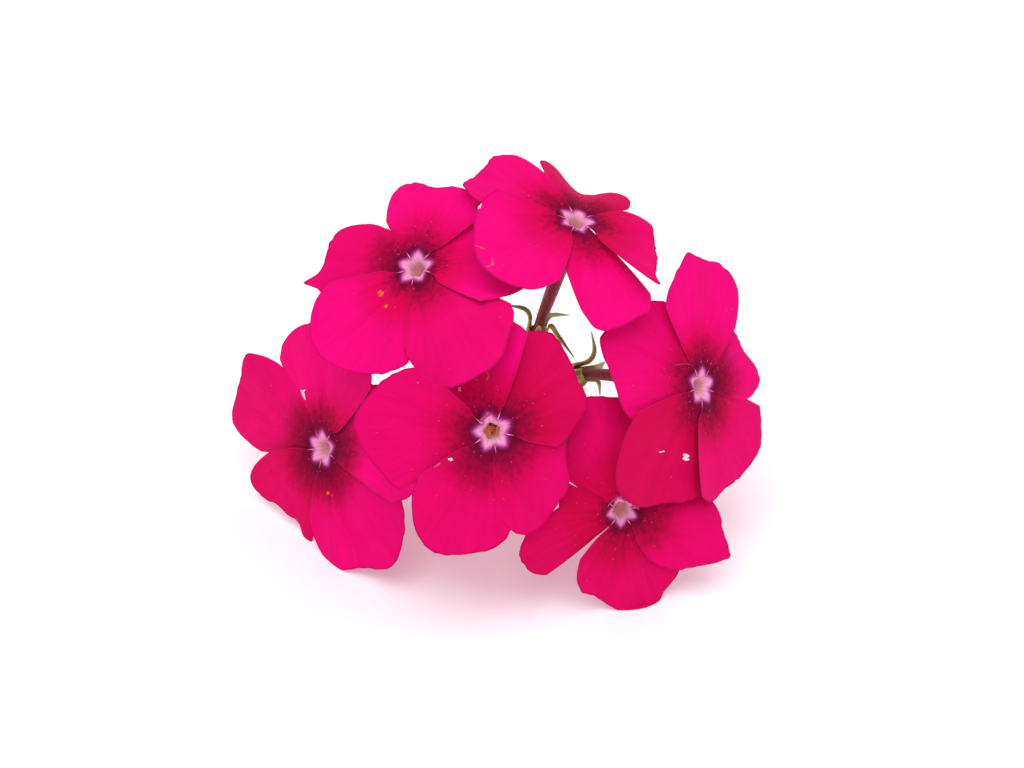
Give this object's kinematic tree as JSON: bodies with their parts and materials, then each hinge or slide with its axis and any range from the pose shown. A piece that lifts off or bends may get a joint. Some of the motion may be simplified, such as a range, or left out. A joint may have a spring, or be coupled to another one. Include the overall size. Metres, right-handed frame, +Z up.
{
  "type": "phlox flower truss",
  "caption": "Cut truss of crimson garden phlox: salver-shaped flowers on long tubes and green calyces, fanned from one forked stem that lies on a surface.",
  "frame": {"origin": "on the resting surface, under the middle of the truss's bounding box", "axes": "+Z up, -Y towards the side that the middle flower faces, +X to the right seen from there; the cut stem runs back along +Y"},
  "size_m": [0.0663, 0.0558, 0.0431],
  "materials": {
    "petal": "velvety crimson-magenta, darker plum round a pale star-shaped eye",
    "calyx_green": "satin green with yellow-green margins",
    "stem_green": "satin yellow-green with fine hairs",
    "pollen": "matte orange pollen"
  },
  "bodies": {
    "root": {"stem": "stem_green", "calyx_top": "calyx_green", "calyx_upper_left": "calyx_green", "calyx_left": "calyx_green", "calyx_middle": "calyx_green", "calyx_right": "calyx_green", "calyx_lower_right": "calyx_green", "corolla_top": "petal", "corolla_upper_left": "petal", "corolla_left": "petal", "corolla_middle": "petal", "corolla_right": "petal", "corolla_lower_right": "petal", "anthers_top": "pollen", "anthers_upper_left": "pollen", "anthers_left": "pollen", "anthers_middle": "pollen", "anthers_right": "pollen", "anthers_lower_right": "pollen"}
  },
  "joints": []
}
